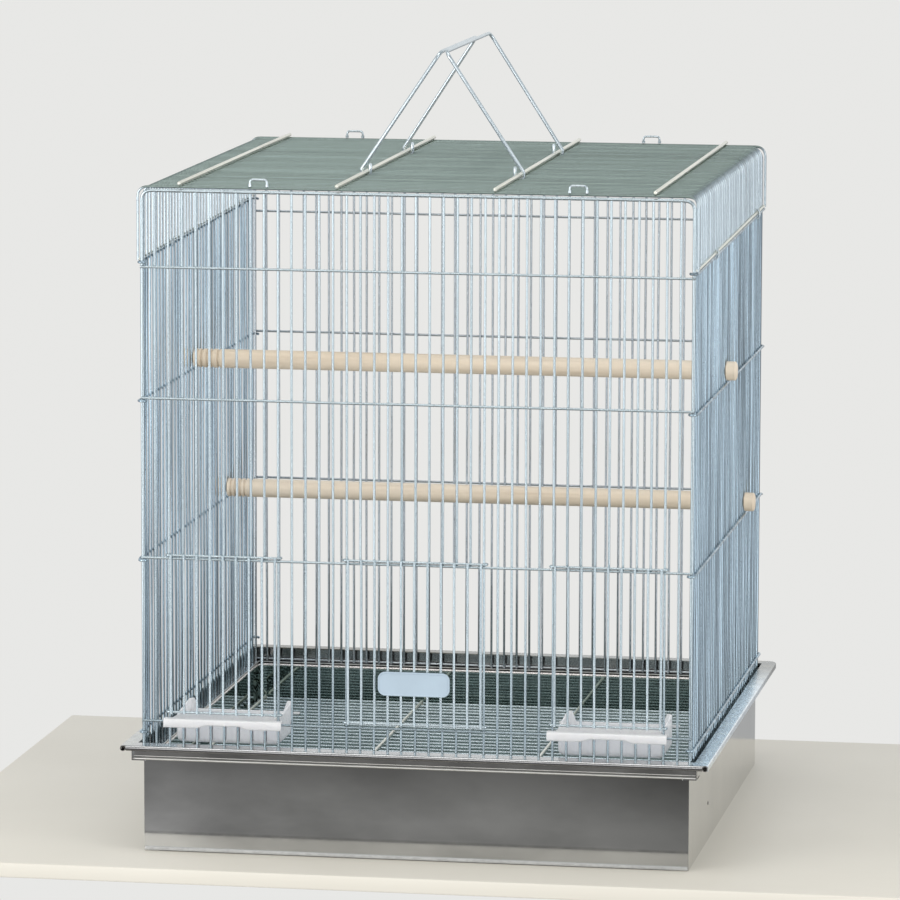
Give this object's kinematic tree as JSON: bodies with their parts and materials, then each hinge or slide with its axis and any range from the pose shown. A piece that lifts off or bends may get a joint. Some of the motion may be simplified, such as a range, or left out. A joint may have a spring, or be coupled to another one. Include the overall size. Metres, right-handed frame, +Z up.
{
  "type": "bird cage",
  "caption": "Square wire bird cage on a sheet metal base: pull-out tray, lift-up doors, feeding cups, turned perches and two folding wire handles.",
  "frame": {"origin": "centre of the underside of the base", "axes": "+Z up, -Y towards the front with the doors and the tray, +X to the right seen from the front"},
  "size_m": [0.465, 0.4674, 0.6275],
  "materials": {
    "zinc_wire": "bright zinc plated wire",
    "roof_wire": "bright zinc plated wire",
    "handle_wire": "bright zinc plated wire",
    "base_sheet": "bright zinc plated sheet, lightly brushed",
    "drawer_sheet": "bright zinc plated sheet that mirrors a dark room",
    "tray_sheet": "bright zinc plated sheet",
    "cup_plastic": "moulded, slightly glossy white",
    "perch_wood": "bare turned softwood",
    "badge_plastic": "blank, pale blue-grey"
  },
  "bodies": {
    "cage": {"rim_frame": "base_sheet", "base_wall_left": "base_sheet", "base_wall_right": "base_sheet", "base_wall_back": "base_sheet", "runner_left": "base_sheet", "runner_right": "base_sheet", "front_panel": "zinc_wire", "back_panel": "zinc_wire", "side_panel_left": "zinc_wire", "side_panel_right": "zinc_wire", "roof_panel": "roof_wire", "roof_bar_1": "roof_wire", "roof_bar_2": "roof_wire", "roof_bar_3": "roof_wire", "roof_bar_4": "roof_wire", "staple_front_left": "zinc_wire", "staple_front_right": "zinc_wire", "staple_back_left": "zinc_wire", "staple_back_right": "zinc_wire", "tie_ring_left_front": "zinc_wire", "tie_ring_left_back": "zinc_wire", "tie_ring_right_front": "zinc_wire", "tie_ring_right_back": "zinc_wire"},
    "drawer": {"drawer_front": "drawer_sheet", "drawer_tray": "tray_sheet"},
    "grille": {"floor_grille": "zinc_wire"},
    "handle_left": {"handle_left": "handle_wire"},
    "handle_right": {"handle_right": "handle_wire"},
    "door_centre": {"door_centre": "zinc_wire", "badge_plate": "badge_plastic"},
    "door_left_cup": {"door_left_cup": "zinc_wire"},
    "door_right_cup": {"door_right_cup": "zinc_wire"},
    "cup_left": {"cup_left": "cup_plastic"},
    "cup_right": {"cup_right": "cup_plastic"},
    "perch_upper": {"perch_upper": "perch_wood"},
    "perch_lower": {"perch_lower": "perch_wood"}
  },
  "joints": [
    {"name": "drawer_slide", "type": "slide", "parent": "cage", "child": "drawer", "axis": [0, -1, 0], "range_m": [0, 0.3]},
    {"name": "grille_lift", "type": "slide", "parent": "drawer", "child": "grille", "axis": [0, 0, -1], "range_m": [-0.024, 0]},
    {"name": "door_centre_lift", "type": "slide", "parent": "cage", "child": "door_centre", "axis": [0, 0, 1], "range_m": [0, 0.118]},
    {"name": "door_left_cup_lift", "type": "slide", "parent": "cage", "child": "door_left_cup", "axis": [0, 0, 1], "range_m": [0, 0.118]},
    {"name": "door_right_cup_lift", "type": "slide", "parent": "cage", "child": "door_right_cup", "axis": [0, 0, 1], "range_m": [0, 0.118]},
    {"name": "cup_left_lift", "type": "slide", "parent": "cage", "child": "cup_left", "axis": [0, 0, 1], "range_m": [0, 0.0028]},
    {"name": "cup_right_lift", "type": "slide", "parent": "cage", "child": "cup_right", "axis": [0, 0, 1], "range_m": [0, 0.0028]},
    {"name": "handle_left_fold", "type": "hinge", "parent": "cage", "child": "handle_left", "pos_m": [-0.062, 0, 0.5289], "axis": [0, -1, 0], "range_deg": [0, 116]},
    {"name": "handle_right_fold", "type": "hinge", "parent": "cage", "child": "handle_right", "pos_m": [0.062, 0, 0.5289], "axis": [0, 1, 0], "range_deg": [0, 116]},
    {"name": "perch_upper_turn", "type": "hinge", "parent": "cage", "child": "perch_upper", "pos_m": [0, -0.02719, 0.368], "axis": [1, 0, 0], "continuous": true},
    {"name": "perch_lower_turn", "type": "hinge", "parent": "cage", "child": "perch_lower", "pos_m": [0, 0.10331, 0.2425], "axis": [1, 0, 0], "continuous": true}
  ]
}
